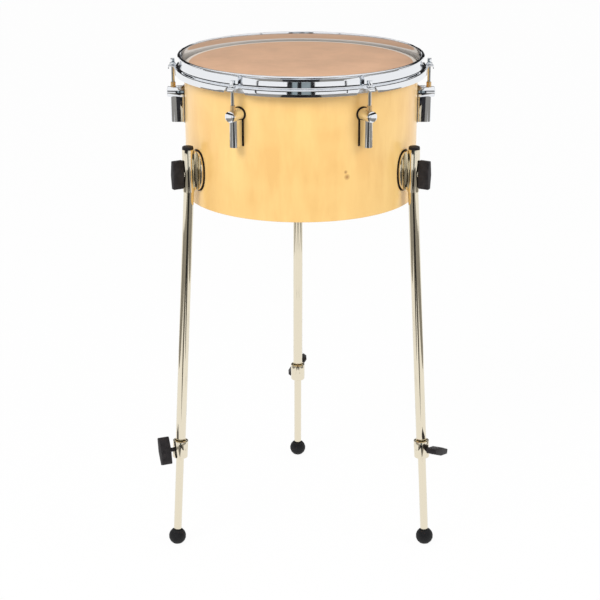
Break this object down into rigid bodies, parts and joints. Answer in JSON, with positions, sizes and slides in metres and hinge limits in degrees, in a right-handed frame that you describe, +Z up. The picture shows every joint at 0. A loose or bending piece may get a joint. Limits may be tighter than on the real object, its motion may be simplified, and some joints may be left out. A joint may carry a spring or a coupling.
{
  "type": "kettledrum",
  "caption": "Kettledrum with a cylindrical wooden shell, a film head held by a chrome tension hoop, and splayed telescopic legs on ball feet.",
  "frame": {"origin": "on the floor, under the middle of the whole object's box; the drum's own upright axis stands 29 mm in front of it", "axes": "+Z up, -Y towards the front of the drum, with one leg at the rear and one at the left and right of the front"},
  "size_m": [0.4235, 0.4153, 0.7155],
  "materials": {
    "wood": "satin clear lacquer",
    "film": "satin",
    "chrome": "polished",
    "nickel": "polished nickel",
    "aluminium": "satin",
    "brass": "satin",
    "plastic": "matte",
    "gasket": "matte",
    "rubber": "matte"
  },
  "bodies": {
    "drum": {"shell": "wood", "drumhead": "film", "flesh_hoop": "aluminium", "lug_gasket_right": "gasket", "lug_gasket_rear_right": "gasket", "lug_gasket_rear_left": "gasket", "lug_gasket_left": "gasket", "lug_gasket_front_left": "gasket", "lug_gasket_front_right": "gasket", "lug_casing_right": "chrome", "lug_casing_rear_right": "chrome", "lug_casing_rear_left": "chrome", "lug_casing_left": "chrome", "lug_casing_front_left": "chrome", "lug_casing_front_right": "chrome", "swivel_nut_right": "brass", "swivel_nut_rear_right": "brass", "swivel_nut_rear_left": "brass", "swivel_nut_left": "brass", "swivel_nut_front_left": "brass", "swivel_nut_front_right": "brass", "bracket_gasket_right": "gasket", "bracket_gasket_rear": "gasket", "bracket_gasket_left": "gasket", "leg_bracket_right": "nickel", "leg_bracket_rear": "nickel", "leg_bracket_left": "nickel", "sleeve_cap_right": "plastic", "sleeve_cap_rear": "plastic", "sleeve_cap_left": "plastic"},
    "hoop": {"tension_hoop": "chrome"},
    "rod_right": {"tension_rod_right": "chrome"},
    "rod_rear_right": {"tension_rod_rear_right": "chrome"},
    "rod_rear_left": {"tension_rod_rear_left": "chrome"},
    "rod_left": {"tension_rod_left": "chrome"},
    "rod_front_left": {"tension_rod_front_left": "chrome"},
    "rod_front_right": {"tension_rod_front_right": "chrome"},
    "bracket_screw_right": {"bracket_wing_screw_right": "plastic"},
    "bracket_screw_rear": {"bracket_wing_screw_rear": "plastic"},
    "bracket_screw_left": {"bracket_wing_screw_left": "plastic"},
    "upper_leg_right": {"leg_tube_right": "nickel", "height_collar_right": "nickel"},
    "upper_leg_rear": {"leg_tube_rear": "nickel", "height_collar_rear": "nickel"},
    "upper_leg_left": {"leg_tube_left": "nickel", "height_collar_left": "nickel"},
    "collar_screw_right": {"collar_wing_screw_right": "plastic"},
    "collar_screw_rear": {"collar_wing_screw_rear": "plastic"},
    "collar_screw_left": {"collar_wing_screw_left": "plastic"},
    "lower_leg_right": {"leg_rod_right": "nickel", "ball_foot_right": "rubber"},
    "lower_leg_rear": {"leg_rod_rear": "nickel", "ball_foot_rear": "rubber"},
    "lower_leg_left": {"leg_rod_left": "nickel", "ball_foot_left": "rubber"}
  },
  "joints": [
    {"name": "hoop_lift", "type": "slide", "parent": "drum", "child": "hoop", "axis": [0, 0, 1], "range_m": [0, 0.012]},
    {"name": "rod_turn_right", "type": "hinge", "parent": "hoop", "child": "rod_right", "pos_m": [0.1813, -0.02925, 0.68], "axis": [0, 0, 1], "range_deg": [0, 5400]},
    {"name": "rod_turn_rear_right", "type": "hinge", "parent": "hoop", "child": "rod_rear_right", "pos_m": [0.09065, 0.12776, 0.68], "axis": [0, 0, 1], "range_deg": [0, 5400]},
    {"name": "rod_turn_rear_left", "type": "hinge", "parent": "hoop", "child": "rod_rear_left", "pos_m": [-0.09065, 0.12776, 0.68], "axis": [0, 0, 1], "range_deg": [0, 5400]},
    {"name": "rod_turn_left", "type": "hinge", "parent": "hoop", "child": "rod_left", "pos_m": [-0.1813, -0.02925, 0.68], "axis": [0, 0, 1], "range_deg": [0, 5400]},
    {"name": "rod_turn_front_left", "type": "hinge", "parent": "hoop", "child": "rod_front_left", "pos_m": [-0.09065, -0.18626, 0.68], "axis": [0, 0, 1], "range_deg": [0, 5400]},
    {"name": "rod_turn_front_right", "type": "hinge", "parent": "hoop", "child": "rod_front_right", "pos_m": [0.09065, -0.18626, 0.68], "axis": [0, 0, 1], "range_deg": [0, 5400]},
    {"name": "bracket_screw_turn_right", "type": "hinge", "parent": "drum", "child": "bracket_screw_right", "pos_m": [0.15632, -0.1195, 0.5635], "axis": [0.866, -0.5, 0], "range_deg": [0, 720]},
    {"name": "bracket_screw_turn_rear", "type": "hinge", "parent": "drum", "child": "bracket_screw_rear", "pos_m": [-0.00441, 0.15119, 0.5635], "axis": [-0.0244, 0.9997, 0], "range_deg": [0, 720]},
    {"name": "bracket_screw_turn_left", "type": "hinge", "parent": "drum", "child": "bracket_screw_left", "pos_m": [-0.15632, -0.1195, 0.5635], "axis": [-0.866, -0.5, 0], "range_deg": [0, 720]},
    {"name": "leg_slide_right", "type": "slide", "parent": "drum", "child": "upper_leg_right", "axis": [0, 0, -1], "range_m": [0, 0.045]},
    {"name": "leg_slide_rear", "type": "slide", "parent": "drum", "child": "upper_leg_rear", "axis": [0, 0, -1], "range_m": [0, 0.045]},
    {"name": "leg_slide_left", "type": "slide", "parent": "drum", "child": "upper_leg_left", "axis": [0, 0, -1], "range_m": [0, 0.045]},
    {"name": "collar_screw_turn_right", "type": "hinge", "parent": "upper_leg_right", "child": "collar_screw_right", "pos_m": [0.17638, -0.13109, 0.152], "axis": [0.8645, -0.4991, 0.0602], "range_deg": [0, 720]},
    {"name": "collar_screw_turn_rear", "type": "hinge", "parent": "upper_leg_rear", "child": "collar_screw_rear", "pos_m": [-0.00498, 0.17435, 0.152], "axis": [-0.0244, 0.9979, 0.0602], "range_deg": [0, 720]},
    {"name": "collar_screw_turn_left", "type": "hinge", "parent": "upper_leg_left", "child": "collar_screw_left", "pos_m": [-0.17638, -0.13109, 0.152], "axis": [-0.8645, -0.4991, 0.0602], "range_deg": [0, 720]},
    {"name": "height_slide_right", "type": "slide", "parent": "upper_leg_right", "child": "lower_leg_right", "axis": [0.0521, -0.0301, -0.9982], "range_m": [-0.1, 0.12]},
    {"name": "height_slide_rear", "type": "slide", "parent": "upper_leg_rear", "child": "lower_leg_rear", "axis": [-0.0015, 0.0602, -0.9982], "range_m": [-0.1, 0.12]},
    {"name": "height_slide_left", "type": "slide", "parent": "upper_leg_left", "child": "lower_leg_left", "axis": [-0.0521, -0.0301, -0.9982], "range_m": [-0.1, 0.12]}
  ],
  "couplings": [
    {"joint": "rod_turn_right", "follows": "hoop_lift", "rad_per_m": 7850},
    {"joint": "rod_turn_rear_right", "follows": "hoop_lift", "rad_per_m": 7850},
    {"joint": "rod_turn_rear_left", "follows": "hoop_lift", "rad_per_m": 7850},
    {"joint": "rod_turn_left", "follows": "hoop_lift", "rad_per_m": 7850},
    {"joint": "rod_turn_front_left", "follows": "hoop_lift", "rad_per_m": 7850},
    {"joint": "rod_turn_front_right", "follows": "hoop_lift", "rad_per_m": 7850}
  ]
}
